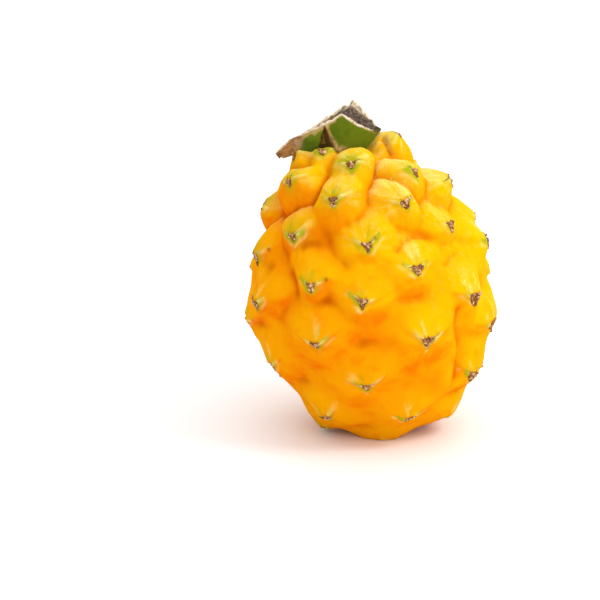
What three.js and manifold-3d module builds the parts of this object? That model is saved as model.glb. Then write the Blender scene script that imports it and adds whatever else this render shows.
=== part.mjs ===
// A whole yellow dragon fruit with the chunk of dried cactus stem that it was cut with.
// The fruit stands on its flower end and leans a little to the left, with the stem on top.
// Millimetres, +Z up. The floor is z = 0 and the origin is under the middle of the object.
import * as THREE from 'three';
import { mergeVertices } from 'three/addons/utils/BufferGeometryUtils.js';
import Module from 'manifold-3d';

const wasm = await Module();
wasm.setup();

// The fruit's body: a long ball of revolution about its own axis
const bodyRadius = 35.1;
const bodyHalfLength = 47.05;
const leanDegrees = 11.5;
const seat = new THREE.Vector3(0.65, 0.8, 47.0); // middle of the body above the floor
const egg = 0.124; // the stem end is narrower by this share
const eggFrom = -5;
const eggTo = 42;
const ballDetail = 20;

// The tubercles, placed round the axis by a golden-angle rule, stem end first
const tubercleCount = 58;
const turnDegrees = 137.88;
const firstAngle = -130.0;
const firstHeight = 0.006;
const endCrowding = 0.0675; // how much closer they stand at both ends
const angleSpread = 19.4;
const heightSpread = 0.038;
const angleSeed = 16193;
const heightSeed = 16783;
const growSeed = 3;
const twistSeed = 5;
const twistDegrees = 30;
const strays = { // some grew off the rule: degrees round, share of the height up, mm higher
  0: [9, 0, 0], 1: [0, -0.02, 0], 2: [54, 0.055, 0.8], 3: [-5, -0.02, -1.2], 4: [12, 0, 0],
  5: [14, 0.01, 0], 6: [-5, -0.015, 0], 7: [5, 0.07, 0], 8: [6, -0.02, 0], 11: [-6, -0.02, 0],
  14: [0, 0.04, 1.5], 16: [-3, -0.01, 0], 18: [-2, 0, 1.0], 21: [2, -0.035, 0], 27: [0, 0.02, 1.0],
  29: [1, 0.035, 0], 32: [0, -0.03, 0], 37: [-2, 0, 0], 45: [6, -0.035, 0],
};

// Their shape: round knobs near the stem, broad mounds on the belly, lower ones below
const topHigh = 7.0;
const bellyHigh = 5.6;
const lowHigh = 4.4;
const topSpan = 1.05; // radius of a knob, in cell sizes
const bellySpan = 1.22;
const topWide = 1.12; // width of a knob in radii, and its length below its middle
const bellyWide = 1.15;
const topLong = 1.25;
const bellyLong = 1.3;
const bellySquare = 1.65; // 2 is a round outline, less is more like a diamond
const rise = 0.15; // how far the knob's middle sits above its areole, in radii
const roundTop = 1.0;
const roundUp = 0.8; // crisp shoulder on the stem side, soft slope on the flower side
const roundSide = 1.1;
const roundDown = 1.5;
const topEven = 0.3; // how much the shoulders of the knobs near the stem are alike all round
const fall = 0.5;
const tipHigh = 0.6;
const tipWidth = 2.2;
const topLean = 0.30; // how far the knobs hang over towards the flower end
const bellyLean = 0.38;
const topBlend = 1.05;
const lowBlend = 0.8;
const valley = 0.1;
const stemDish = 3.5;
const stemDishDegrees = 18;
const navelDepth = 4.0;
const navelRadius = 10.0;

// The dried areole at the tip of each tubercle, a small three-cornered crust
const areoleWide = 3.2;
const areoleTall = 3.8;
const areoleProud = 0.7;
const areoleSunk = 1.6;

// The stem stub, as two gable outlines in x and z from the middle of the body
const stubHalfDepth = 8.2;
const stubTipTaper = 0.55; // its depth at the left tip, as a share of its depth at the ridge
const cutSunk = 1.0; // the dried cut faces lie this far below the rind's rim
const rimWide = 1.1;
const faceBulge = 0.8;
const clearance = 0.3;
const stubMiddle = new THREE.Vector2(-11.0, 51.5);
const stubFront = {
  tip: [-31.0, 45.1], shoulder: [-26.3, 50.3], eave: [-18.7, 54.2], ridge: [-9.9, 59.4],
  slope: [-4.1, 55.3], dip: [1.0, 53.1], corner: [2.7, 54.2], cheek: [1.1, 51.8], heel: [-3.5, 45.5],
  sole: [-11.9, 42.7], arch: [-19.9, 45.1], throat: [-24.9, 46.1], tipLow: [-28.3, 43.7],
};
const stubBack = {
  tip: [-29.5, 43.3], shoulder: [-24.9, 47.9], eave: [-17.9, 52.3], ridge: [-5.9, 60.0],
  slope: [-3.3, 57.7], dip: [-0.7, 54.5], corner: [1.5, 51.8], cheek: [0.7, 49.5], heel: [-3.5, 44.5],
  sole: [-11.4, 42.1], arch: [-19.4, 43.7], throat: [-24.1, 43.9], tipLow: [-27.5, 42.3],
};
const cutCorners = ['shoulder', 'eave', 'ridge', 'slope', 'dip'];

const { sin, cos, sqrt, exp, log, abs, min, max, PI } = Math;
const radians = THREE.MathUtils.degToRad;
const blend = THREE.MathUtils.lerp;
const clamp = THREE.MathUtils.clamp;
const smooth = (low, high, x) => THREE.MathUtils.smoothstep(x, low, high);

function chance(index, seed) {
  const value = sin(index * 12.9898 + seed * 78.233) * 43758.5453;
  return value - Math.floor(value);
}

// Point on the smooth body in direction d, with its normal, the way to the flower end, and across.
function bodyAt(d) {
  const upness = d.z;
  const outness = max(sqrt(max(1 - upness * upness, 0)), 1e-6);
  const east = d.x / outness;
  const north = d.y / outness;
  const base = new THREE.Vector3(bodyRadius * d.x, bodyRadius * d.y, bodyHalfLength * upness);
  const normal = new THREE.Vector3(
    bodyHalfLength * d.x, bodyHalfLength * d.y, bodyRadius * upness).normalize();
  const down = new THREE.Vector3(
    bodyRadius * upness * east, bodyRadius * upness * north, -bodyHalfLength * outness).normalize();
  const side = new THREE.Vector3().crossVectors(down, normal);
  return { base, normal, down, side, upness, outness };
}

function placeTubercles() {
  const list = [];
  for (let i = 0; i < tubercleCount; i++) {
    const even = (i + 0.5) / tubercleCount + heightSpread * (chance(i, heightSeed) - 0.5);
    const share = clamp(even, 0.004, 0.996);
    const crowded = share - endCrowding * sin(PI * share) ** 2;
    const [aside, nearer, higher] = strays[i] ?? [0, 0, 0];
    const upness = 1 - 2 * (firstHeight + (1 - firstHeight) * crowded) + nearer;
    const outness = sqrt(1 - upness * upness);
    const jitter = angleSpread * (chance(i, angleSeed) - 0.5);
    const angle = radians(firstAngle + i * turnDegrees + jitter + aside);
    const direction = new THREE.Vector3(outness * cos(angle), outness * sin(angle), upness);
    const room = (1 - endCrowding * PI * sin(2 * PI * share)) / tubercleCount;
    const girth = sqrt((bodyHalfLength * outness) ** 2 + (bodyRadius * upness) ** 2);
    const cell = sqrt(4 * bodyRadius * girth * room);
    const top = smooth(0.15, 0.85, upness);
    const low = clamp(-upness / 0.9, 0, 1);
    const grow = 0.82 + 0.36 * chance(i, growSeed);
    const twist = radians(twistDegrees * (chance(i, twistSeed) - 0.5));
    const high = blend(blend(bellyHigh, topHigh, top), lowHigh, low) * grow + higher;
    const radius = cell * blend(bellySpan, topSpan, top);
    const wide = radius * blend(bellyWide, topWide, top);
    const long = radius * blend(bellyLong, topLong, top);
    const square = blend(bellySquare, 2, top);
    list.push({ direction, top, twist, high, radius, wide, long, square, ...bodyAt(direction) });
  }
  return list;
}

// Height of one tubercle above the body at a point that lies `offset` from its areole.
function tubercleHeight(knob, offset) {
  const across = offset.dot(knob.side);
  const along = offset.dot(knob.down);
  const out = offset.dot(knob.normal);
  const x = across * cos(knob.twist) - along * sin(knob.twist);
  const y = across * sin(knob.twist) + along * cos(knob.twist);
  const lower = y + rise * knob.radius;
  const reach = lower < 0 ? knob.radius : knob.long;
  const far = (abs(x / knob.wide) ** knob.square + abs(lower / reach) ** knob.square
    + abs(out / (1.3 * knob.radius)) ** knob.square) ** (1 / knob.square);
  const toward = lower / (sqrt(x * x + lower * lower) + 0.15 * knob.radius);
  const shoulder = toward < -0.2
    ? blend(roundUp, roundSide, (toward + 1) / 0.8)
    : blend(roundSide, roundDown, (toward + 0.2) / 1.2);
  const round = blend(shoulder, roundTop, topEven * knob.top);
  const dome = max(1 - far * far, 0) ** round - fall * clamp(far - 1, 0, 4);
  return knob.high * dome + tipHigh * exp(-offset.lengthSq() / (tipWidth * tipWidth));
}

// The skin in direction d: the tubercles melt into each other by a soft maximum.
function skinAt(d, knobs) {
  const { base, normal, down, upness, outness } = bodyAt(d);
  const softness = blend(lowBlend, topBlend, smooth(-0.4, 0.7, upness));
  let total = exp(softness * valley);
  for (const knob of knobs) {
    const offset = new THREE.Vector3().subVectors(base, knob.base);
    total += exp(softness * tubercleHeight(knob, offset));
  }
  const height = log(total) / softness;
  const fromStem = Math.acos(clamp(upness, -1, 1)) / radians(stemDishDegrees);
  const dish = stemDish * max(1 - fromStem * fromStem, 0);
  const fromNavel = bodyRadius * outness / navelRadius;
  const navel = upness < 0 ? navelDepth * max(1 - fromNavel * fromNavel, 0) : 0;
  const overhang = blend(bellyLean, topLean, smooth(0.2, 0.9, upness)) * smooth(0, 0.25, outness);
  base.addScaledVector(normal, height - dish - navel).addScaledVector(down, height * overhang);
  const narrow = 1 - egg * smooth(eggFrom, eggTo, base.z);
  return base.multiply(new THREE.Vector3(narrow, narrow, 1));
}

const standUp = new THREE.Matrix4()
  .makeTranslation(seat.x, seat.y, seat.z)
  .multiply(new THREE.Matrix4().makeRotationY(radians(-leanDegrees)));

// A closed three.js geometry as a solid for joining and cutting, and back again.
function toSolid(geometry) {
  const bare = geometry.clone();
  bare.deleteAttribute('normal');
  bare.deleteAttribute('uv');
  const merged = mergeVertices(bare, 1e-4);
  const index = merged.index.array;
  const mesh = new wasm.Mesh({
    numProp: 3,
    vertProperties: Float32Array.from(merged.attributes.position.array),
    triVerts: Uint32Array.from(index),
  });
  return new wasm.Manifold(mesh);
}

function toGeometry(solid) {
  const mesh = solid.getMesh();
  const geometry = new THREE.BufferGeometry();
  geometry.setAttribute('position', new THREE.BufferAttribute(mesh.vertProperties, 3));
  geometry.setIndex(new THREE.BufferAttribute(mesh.triVerts, 1));
  geometry.computeVertexNormals();
  return geometry;
}

function fruitSkin(knobs) {
  const ball = new THREE.IcosahedronGeometry(1, ballDetail);
  ball.deleteAttribute('normal');
  ball.deleteAttribute('uv');
  const geometry = mergeVertices(ball, 1e-5);
  const points = geometry.attributes.position;
  for (let i = 0; i < points.count; i++) {
    const d = new THREE.Vector3().fromBufferAttribute(points, i).normalize();
    const p = skinAt(d, knobs).applyMatrix4(standUp);
    points.setXYZ(i, p.x, p.y, p.z);
  }
  return geometry;
}

// One areole: a low crust whose three corners point left, right and to the flower end.
function areole(knob, knobs) {
  const here = skinAt(knob.direction, knobs);
  const ahead = skinAt(knob.direction.clone().addScaledVector(knob.down, 0.02).normalize(), knobs);
  const beside = skinAt(knob.direction.clone().addScaledVector(knob.side, 0.02).normalize(), knobs);
  const down = ahead.sub(here).normalize();
  const across = beside.sub(here).normalize();
  const out = new THREE.Vector3().crossVectors(across, down).normalize();
  if (out.dot(knob.normal) < 0) out.negate();
  const corner = (x, y, z) => here.clone()
    .addScaledVector(across, x).addScaledVector(down, y).addScaledVector(out, z)
    .applyMatrix4(standUp);
  const corners = [
    corner(0, -0.1 * areoleTall, areoleProud),
    corner(-0.5 * areoleWide, -0.4 * areoleTall, -0.1),
    corner(0.5 * areoleWide, -0.4 * areoleTall, -0.1),
    corner(0, 0.6 * areoleTall, -0.1),
    corner(0, 0, -areoleSunk),
  ];
  const faces = [0, 1, 3, 0, 3, 2, 0, 2, 1, 4, 3, 1, 4, 2, 3, 4, 1, 2];
  const geometry = new THREE.BufferGeometry();
  geometry.setAttribute('position',
    new THREE.Float32BufferAttribute(corners.flatMap((p) => p.toArray()), 3));
  const mirrored = across.clone().cross(down).dot(out) > 0;
  if (mirrored) faces.reverse();
  geometry.setIndex(faces);
  return toSolid(geometry);
}

// The stub's outline at depth v, from -1 at the front face to 1 at the back face.
function stubSection(v, swell) {
  const names = Object.keys(stubFront);
  const share = (v + 1) / 2;
  const inside = smooth(0, rimWide, stubHalfDepth * (1 - abs(v)));
  return names.map((name) => {
    const x = blend(stubFront[name][0], stubBack[name][0], share);
    const z = blend(stubFront[name][1], stubBack[name][1], share);
    const sunk = cutCorners.includes(name) ? cutSunk * inside : 0;
    const taper = blend(stubTipTaper, 1, smooth(-31, -17, x));
    const depth = (stubHalfDepth + swell) * v * taper;
    return new THREE.Vector3(x, depth, z - sunk);
  });
}

function stubSolid(swell) {
  const rim = 1 - rimWide / stubHalfDepth;
  const depths = [-1, -(1 + rim) / 2, -rim, 0, rim, (1 + rim) / 2, 1];
  const rings = depths.map((v) => stubSection(v, swell));
  const count = rings[0].length;
  const points = [];
  for (const ring of rings) {
    for (const p of ring) {
      const away = new THREE.Vector2(p.x - stubMiddle.x, p.z - stubMiddle.y).normalize();
      points.push(new THREE.Vector3(p.x + swell * away.x, p.y, p.z + swell * away.y));
    }
  }
  const faces = [];
  for (let r = 0; r + 1 < rings.length; r++) {
    for (let k = 0; k < count; k++) {
      const next = (k + 1) % count;
      const a = r * count + k;
      const b = r * count + next;
      const c = (r + 1) * count + next;
      const d = (r + 1) * count + k;
      faces.push(a, b, c, a, c, d);
    }
  }
  const front = points.length;
  points.push(new THREE.Vector3(stubMiddle.x, -stubHalfDepth - swell - faceBulge, stubMiddle.y));
  const back = points.length;
  points.push(new THREE.Vector3(stubMiddle.x + 3, stubHalfDepth + swell + faceBulge, stubMiddle.y));
  const last = (rings.length - 1) * count;
  for (let k = 0; k < count; k++) {
    const next = (k + 1) % count;
    faces.push(front, next, k, back, last + k, last + next);
  }
  const geometry = new THREE.BufferGeometry();
  geometry.setAttribute('position', new THREE.Float32BufferAttribute(
    points.flatMap((p) => p.clone().add(seat).toArray()), 3));
  geometry.setIndex(faces);
  return toSolid(geometry);
}

function meshOf(name, solid, color, roughness) {
  const material = new THREE.MeshStandardMaterial({ color, roughness, metalness: 0 });
  const mesh = new THREE.Mesh(toGeometry(solid), material);
  mesh.name = name;
  return mesh;
}

const knobs = placeTubercles();
const aboveFloor = new THREE.BoxGeometry(200, 200, 200).translate(0, 0, 100);
let fruit = toSolid(fruitSkin(knobs));
for (const knob of knobs) fruit = fruit.add(areole(knob, knobs));
fruit = fruit.subtract(stubSolid(clearance)).intersect(toSolid(aboveFloor));

const group = new THREE.Group();
group.add(meshOf('fruit', fruit, 0xf9b800, 0.45));
group.add(meshOf('stem_stub', stubSolid(0), 0x5f7d1e, 0.7));

export default group;
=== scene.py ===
import math

import bmesh
import bpy
import numpy as np
from mathutils import Matrix, Vector


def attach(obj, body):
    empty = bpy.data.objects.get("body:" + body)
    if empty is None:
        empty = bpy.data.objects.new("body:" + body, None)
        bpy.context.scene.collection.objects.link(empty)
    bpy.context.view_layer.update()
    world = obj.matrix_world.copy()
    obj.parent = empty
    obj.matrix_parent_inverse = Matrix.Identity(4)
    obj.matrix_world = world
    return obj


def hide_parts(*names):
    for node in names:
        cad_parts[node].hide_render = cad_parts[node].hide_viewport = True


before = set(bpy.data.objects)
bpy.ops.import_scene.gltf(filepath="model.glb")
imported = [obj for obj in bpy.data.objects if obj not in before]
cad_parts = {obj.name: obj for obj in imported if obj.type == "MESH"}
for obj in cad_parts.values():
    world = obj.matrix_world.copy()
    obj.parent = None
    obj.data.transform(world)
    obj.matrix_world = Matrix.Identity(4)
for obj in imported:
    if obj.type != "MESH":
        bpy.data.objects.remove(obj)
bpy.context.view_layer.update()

# A whole yellow dragon fruit with its stem stub. Sizes are in millimetres and turned to metres in meshPiece.
mm = 0.001
random = np.random.default_rng(58)


def blend(a, b, share):
    return a + (b - a) * share


def smooth(low, high, value):
    share = np.clip((value - low) / (high - low), 0, 1)
    return share * share * (3 - 2 * share)


def bell(value, width):
    return np.exp(-(value / width) ** 2)


def scrambled(value):  # a number from 0 to 1 that has nothing to do with the numbers beside it
    value = np.sin(value) * 43758.5453
    return value - np.floor(value)


def chance(index, seed):
    return scrambled(index * 12.9898 + seed * 78.233)


def unit(vectors):
    return vectors / np.linalg.norm(vectors, axis=-1, keepdims=True)


def turned(x, y, angle):
    return x * math.cos(angle) - y * math.sin(angle), x * math.sin(angle) + y * math.cos(angle)


def lumps(points, size, seed):  # smooth noise from -1 to 1, its lumps about one size wide
    cells = points / size
    corner = np.floor(cells)
    part = cells - corner
    part = part * part * (3 - 2 * part)
    total = np.zeros(len(points))
    for dx, dy, dz in np.ndindex(2, 2, 2):
        key = (corner[:, 0] + dx) * 127.1 + (corner[:, 1] + dy) * 311.7 + (corner[:, 2] + dz) * 74.7
        value = scrambled(key + seed * 19.19) * 2 - 1
        weight = (part[:, 0] if dx else 1 - part[:, 0]) * (part[:, 1] if dy else 1 - part[:, 1])
        total += value * weight * (part[:, 2] if dz else 1 - part[:, 2])
    return total


def lumpVectors(points, size, firstSeed):
    return np.stack([lumps(points, size, firstSeed + axis) for axis in range(3)], -1)


def addToScene(name, data):
    thing = bpy.data.objects.new(name, data)
    bpy.context.scene.collection.objects.link(thing)
    return thing


def meshPiece(name, points, faces, replaced):  # points in millimetres
    mesh = bpy.data.meshes.new(name)
    mesh.from_pydata((np.asarray(points) * mm).tolist(), [], [list(face) for face in faces])
    mesh.update()
    mesh.polygons.foreach_set("use_smooth", [True] * len(mesh.polygons))
    piece = addToScene(name, mesh)
    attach(piece, "root")
    if replaced:
        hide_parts(replaced)
    return piece


def paintPoints(piece, masks):  # one number or vector a point for each mask, which the materials read by name
    for name, values in masks.items():
        kind, field = ("FLOAT_VECTOR", "vector") if values.ndim == 2 else ("FLOAT", "value")
        layer = piece.data.attributes.new(name, kind, "POINT")
        layer.data.foreach_set(field, np.asarray(values, dtype=np.float32).ravel())


# The skin has the same body and tubercles as the CAD solid, then finer relief on top.
fruit = {
    "radius": 35.1, "halfLength": 47.05, "tilt": 11.5, "seat": (0.65, 0.8, 47.0),
    "egg": 0.124, "eggZone": (-5.0, 42.0),       # the stem end is narrower by this share
    "cells": 128,                                # squares along one side of each of the six patches
    "tubercles": 58, "turn": 137.88, "firstAngle": -130.0, "firstHeight": 0.006, "endCrowding": 0.0675,
    "angleSpread": 19.4, "heightSpread": 0.038, "angleSeed": 16193, "heightSeed": 16783,
    "growSeed": 3, "growLeast": 0.82, "growSpread": 0.36, "twistSeed": 5, "twist": 30,
    "topZone": (0.15, 0.85), "lowZone": 0.9,     # how far up or down a tubercle has its end's own form
    # these pairs are for the belly and the stem end
    "high": (5.6, 7.0), "span": (1.22, 1.05), "wide": (1.15, 1.12), "long": (1.3, 1.25), "square": (1.65, 2),
    "lean": (0.38, 0.30), "melt": (0.8, 1.05), "lowHigh": 4.4,
    "rise": 0.15, "fall": 0.5, "outReach": 1.3, "middleEven": 0.15, "tipHigh": 0.6, "tipWidth": 2.2,
    "roundTop": 1.0, "roundUp": 0.8, "roundSide": 1.1, "roundDown": 1.5, "topEven": 0.3, "valley": 0.1,
    "stemDish": 3.5, "stemDishAngle": 18, "navelDepth": 4.0, "navelRadius": 10.0,
    "strays": {          # some tubercles grew off the rule: degrees round, share of the height up, mm higher
        0: (9, 0, 0), 1: (0, -0.02, 0), 2: (54, 0.055, 0.8), 3: (-5, -0.02, -1.2), 4: (12, 0, 0),
        5: (14, 0.01, 0), 6: (-5, -0.015, 0), 7: (5, 0.07, 0), 8: (6, -0.02, 0), 11: (-6, -0.02, 0),
        14: (0, 0.04, 1.5), 16: (-3, -0.01, 0), 18: (-2, 0, 1.0), 21: (2, -0.035, 0), 27: (0, 0.02, 1.0),
        29: (1, 0.035, 0), 32: (0, -0.03, 0), 37: (-2, 0, 0), 45: (6, -0.035, 0),
    },
}
relief = {
    "reach": 26.0,           # how far from its areole a tubercle's fine relief is worked out
    "warp": 3.0, "warpSize": 12.0, "twitch": 0.9, "twitchSize": 5.5,
    "gutter": 1.2,           # the hollows between the knobs near the stem are deeper by this
    "high": {"brow": 0.6, "keel": 0.22, "pit": -0.45, "lip": 0.25, "pocket": -1.0, "thread": -0.22,
             "fold": 0.22, "ray": 0.30},
    "browWide": 6.5, "browUp": 3.0, "browDown": 0.8, "browBend": 0.025, "keelWide": 0.45,
    "pitWide": 1.2, "lipRadius": 2.1, "lipWide": 0.7, "threadWide": 0.45,
    "pocketWide": 5.0, "pocketTall": 2.6, "pocketUp": 0.86, "pocketBend": 0.05,
    "foldWide": 0.6, "foldApart": 0.9, "foldSpread": 0.13, "rays": 3.4, "rayLong": 5.0, "rayReach": 8.0,
    "crinkleHigh": (0.10, 0.40),     # on the belly and at the stem end
    "crinkleWide": 1.5, "crinkleLong": 7.0, "crinkleReach": 9.0,
    "wave": 0.5, "waveSize": 8.0, "ripple": 0.12, "rippleSize": 2.6, "pebble": 0.035, "pebbleSize": 1.1,
}
habits = {    # how the tubercles' marks differ: the seed of the chance, the least value and the spread
    "leftRise": (21, 0.10, 0.40), "rightRise": (22, 0.15, 0.40), "leftArm": (41, 2.5, 5.0),
    "rightArm": (42, 2.0, 4.5), "threadTilt": (23, -0.35, 0.7), "threadLong": (24, 4.0, 4.5),
    "foldLong": (28, 7.0, 9.0), "foldTilt": (29, -0.15, 0.3), "pocketAt": (43, -2.0, 5.0),
    "pocketShare": (44, 0.5, 1.0), "greenLeft": (25, 0, 1), "greenRight": (26, 0, 1), "greenUp": (27, 0, 1),
}
folds = {    # sharper creases between pairs of tubercles and how deep they are, and clefts that run freely
    "seams": {(0, 2): 1.2, (0, 3): 1.4, (0, 8): 1.0, (2, 5): 1.0, (5, 8): 1.3, (3, 5): 1.0, (1, 3): 1.4,
              (3, 6): 1.4, (1, 6): 1.2, (6, 11): 0.9, (3, 11): 0.7, (5, 13): 0.5, (5, 10): 0.7, (1, 14): 0.8,
              (2, 10): 0.8, (2, 7): 1.0, (4, 7): 1.2, (1, 4): 1.1, (7, 12): 0.8, (1, 9): 0.9, (7, 15): 0.6},
    "seamWide": 1.4, "seamBlend": 1.0, "seamFull": 1.3,      # a seam of the last depth has its full painted shade
    "clefts": [              # their paths as degrees round and upness, how deep and how wide
        ([(-9, 0.945), (-18, 0.925), (-22, 0.912), (-23, 0.90), (-24, 0.885), (-32, 0.865)], 2.2, 1.3),
        ([(-46, -0.09), (-47.5, -0.20), (-45.5, -0.33), (-47.5, -0.45), (-47, -0.56)], 1.7, 2.8),
        ([(-71, 0.40), (-66, 0.437), (-59, 0.45), (-52, 0.425), (-47, 0.387)], 0.9, 1.3),
        ([(-46, 0.225), (-41, 0.25), (-34, 0.262), (-28, 0.212), (-29, 0.162)], 0.7, 1.3),
    ],
    # how much painted shade a cleft adds for each mm of its depth
    "cleftPower": 1.3, "cleftShade": 0.35,
}
tints = {
    "sunnySide": (0.70, -0.15, 0.70),        # the side towards the key light, painted yellower and paler: painted light, with some real ripening
    "scaleWide": 4.3, "scaleTall": 4.2,      # half the width of an old scale's triangle, and its height
    "share": {0: 1.3, 2: 0.15, 3: 1.9},      # tubercles with more green or less than the others
    "haloWide": 4.2, "crestHighlightWide": (4.0, 6.0), "rustWide": 0.45, "rusty": 0.85,
}


def towards(turn, upness):  # directions that point turn radians round the fruit and upness up
    outness = np.sqrt(1 - upness * upness)
    return np.stack([outness * np.cos(turn), outness * np.sin(turn), upness], -1)


def bodyAt(d):  # point on the plain body in direction d, its normal, the way to the flower end, across
    a, c = fruit["radius"], fruit["halfLength"]
    upness = d[..., 2]
    outness = np.maximum(np.sqrt(np.clip(1 - upness * upness, 0, None)), 1e-6)
    east, north = d[..., 0] / outness, d[..., 1] / outness
    base = np.stack([a * d[..., 0], a * d[..., 1], c * upness], -1)
    normal = unit(np.stack([c * d[..., 0], c * d[..., 1], a * upness], -1))
    down = unit(np.stack([a * upness * east, a * upness * north, -c * outness], -1))
    return base, normal, down, np.cross(down, normal)


def zones(upness):  # how much a place belongs to the stem end and to the low end
    return smooth(*fruit["topZone"], upness), np.clip(-upness / fruit["lowZone"], 0, 1)


def usualHeight(top, low):
    return blend(blend(*fruit["high"], top), fruit["lowHigh"], low)


def placeTubercles():
    knobs = []
    a, c, count = fruit["radius"], fruit["halfLength"], fruit["tubercles"]
    for i in range(count):
        even = (i + 0.5) / count + fruit["heightSpread"] * (chance(i, fruit["heightSeed"]) - 0.5)
        share = min(max(even, 0.004), 0.996)
        crowded = share - fruit["endCrowding"] * math.sin(math.pi * share) ** 2
        aside, nearer, higher = fruit["strays"].get(i, (0, 0, 0))
        upness = 1 - 2 * (fruit["firstHeight"] + (1 - fruit["firstHeight"]) * crowded) + nearer
        jitter = fruit["angleSpread"] * (chance(i, fruit["angleSeed"]) - 0.5)
        direction = towards(math.radians(fruit["firstAngle"] + i * fruit["turn"] + jitter + aside), upness)
        room = (1 - fruit["endCrowding"] * math.pi * math.sin(2 * math.pi * share)) / count
        cell = math.sqrt(4 * a * math.hypot(c * math.sqrt(1 - upness * upness), a * upness) * room)
        top, low = zones(upness)
        grow = fruit["growLeast"] + fruit["growSpread"] * chance(i, fruit["growSeed"])
        base, normal, down, side = bodyAt(direction)
        knobs.append({
            "index": i, "direction": direction, "top": top,
            "base": base, "normal": normal, "down": down, "side": side,
            "twist": math.radians(fruit["twist"] * (chance(i, fruit["twistSeed"]) - 0.5)),
            "high": usualHeight(top, low) * grow + higher,
            "radius": cell * blend(*fruit["span"], top),
            "greenShare": tints["share"].get(i, 1),
            **{name: blend(*fruit[name], top) for name in ("wide", "long", "square")},
            **{name: least + spread * chance(i, seed) for name, (seed, least, spread) in habits.items()},
        })
    return knobs


def knobFrame(knob, base):  # across, along and out of a tubercle, in mm from its areole
    offset = base - knob["base"]
    return *turned(offset @ knob["side"], offset @ knob["down"], knob["twist"]), offset @ knob["normal"]


def domeHeight(knob, x, y, out):
    radius, power = knob["radius"], knob["square"]
    lower = y + fruit["rise"] * radius
    reach = radius * np.where(lower < 0, 1.0, knob["long"])
    far = np.abs(x / (knob["wide"] * radius)) ** power + np.abs(lower / reach) ** power
    far = (far + np.abs(out / (fruit["outReach"] * radius)) ** power) ** (1 / power)
    toward = lower / (np.sqrt(x * x + lower * lower) + fruit["middleEven"] * radius)
    shoulder = np.interp(toward, [-1, -0.2, 1], [fruit["roundUp"], fruit["roundSide"], fruit["roundDown"]])
    curve = blend(shoulder, fruit["roundTop"], fruit["topEven"] * knob["top"])
    dome = np.clip(1 - far * far, 0, None) ** curve - fruit["fall"] * np.clip(far - 1, 0, 4)
    tip = fruit["tipHigh"] * np.exp(-(x * x + y * y + out * out) / fruit["tipWidth"] ** 2)
    return knob["high"] * dome + tip


def foldDepth(base, domes):  # how deep the sharper creases are, mm
    highest, fold = np.max(list(domes.values()), axis=0), np.zeros(len(base))
    for (a, b), depth in folds["seams"].items():
        if a in domes and b in domes:
            upper = np.maximum(domes[a], domes[b])
            meeting = bell(domes[a] - domes[b], folds["seamWide"]) * bell(highest - upper, folds["seamBlend"])
            fold = np.maximum(fold, depth * meeting * smooth(0.3, 2.5, upper))
    return fold


def ownLumps(knob, x, y, size, apart, seed):  # noise round an areole that differs from tubercle to tubercle
    return lumps(np.stack([x, y, 0 * x + apart * knob["index"]], -1), size, seed)


def fineRelief(knob, x, y):  # the old scale's edge, the areole's pit, and thin ridges above and below it
    far = np.hypot(x, y)
    slope = np.where(x < 0, knob["leftRise"], knob["rightRise"])
    step = y + slope * np.abs(x) + relief["browBend"] * x * x    # below the edge, a smile under the areole
    brow = np.where(step < 0, bell(step, relief["browUp"]), bell(step, relief["browDown"]))
    arm = np.abs(x) / np.where(x < 0, knob["leftArm"], knob["rightArm"])
    thread = bell(x + knob["threadTilt"] * y, relief["threadWide"]) * smooth(-1.2, -2.6, y)
    fold = 0
    for side in (-1, 1):
        bent = x - side * (relief["foldApart"] + relief["foldSpread"] * y) - knob["foldTilt"] * y
        fold = fold + bell(bent, relief["foldWide"]) * smooth(1.2, 4.0, y)
    beside = x - knob["pocketAt"]
    arc = y + relief["pocketUp"] * knob["radius"] - relief["pocketBend"] * beside ** 2
    pocket = bell(beside, relief["pocketWide"]) * bell(arc, relief["pocketTall"])
    crinkle = ownLumps(knob, x / relief["crinkleWide"], y / relief["crinkleLong"], 1.0, 7.3, 34)
    crinkle = crinkle * bell(np.hypot(x, y + 2.0), relief["crinkleReach"]) * smooth(1.5, 4.0, far)
    spread = np.arctan2(x, -y)               # the rays spread from the areole towards the stem
    ray = ownLumps(knob, spread * relief["rays"], far / relief["rayLong"], 1.0, 3.7, 35)
    parts = {
        "brow": bell(x, relief["browWide"]) * brow,
        "keel": bell(step, relief["keelWide"]) * (1 - smooth(0.5, 1.0, arm)) * smooth(0.8, 2.0, np.abs(x)),
        "pit": bell(far, relief["pitWide"]), "lip": bell(far - relief["lipRadius"], relief["lipWide"]),
        "pocket": knob["pocketShare"] * (1 - 0.6 * knob["top"]) * pocket,
        "thread": thread * (1 - smooth(0.5, 1.0, -y / knob["threadLong"])),
        "fold": fold * (1 - smooth(0.4, 1.0, y / knob["foldLong"])),
        "ray": ray * smooth(1.9, 1.0, np.abs(spread)) * smooth(1.2, 2.5, far) * bell(far, relief["rayReach"]),
    }
    height = sum(high * parts[name] for name, high in relief["high"].items())
    height = height + blend(*relief["crinkleHigh"], knob["top"]) * crinkle
    return height, {**parts, "step": step, "far": far, "crinkle": crinkle}


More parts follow.
